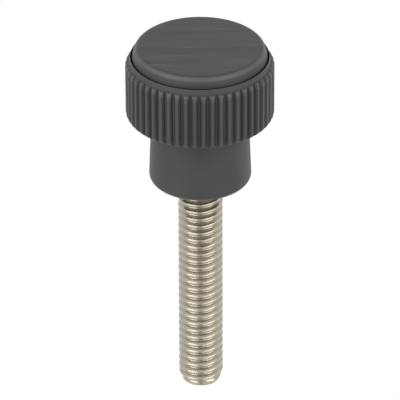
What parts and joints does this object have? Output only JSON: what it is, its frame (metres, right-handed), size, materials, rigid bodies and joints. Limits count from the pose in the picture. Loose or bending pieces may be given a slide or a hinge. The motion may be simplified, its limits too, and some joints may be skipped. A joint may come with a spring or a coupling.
{
  "type": "knurled knob",
  "caption": "Small moulded knob with a knurled rim, a round boss, a seated cover cap and a threaded steel stud, for turning or clamping by hand.",
  "frame": {"origin": "centre of the cover cap's flat outer face, on which the knob stands upside down", "axes": "+Z along the stud, from the cap to the stud's point; X and Y across the knob"},
  "size_m": [0.0124, 0.0124, 0.0327],
  "materials": {
    "moulded_grey": "matt, fine moulded grain",
    "cap_grey": "matt, with faint fine lines across the top",
    "stainless_steel": "rolled thread, bright satin"
  },
  "bodies": {
    "root": {"knob_body": "moulded_grey", "cover_cap": "cap_grey", "threaded_stud": "stainless_steel"}
  },
  "joints": []
}
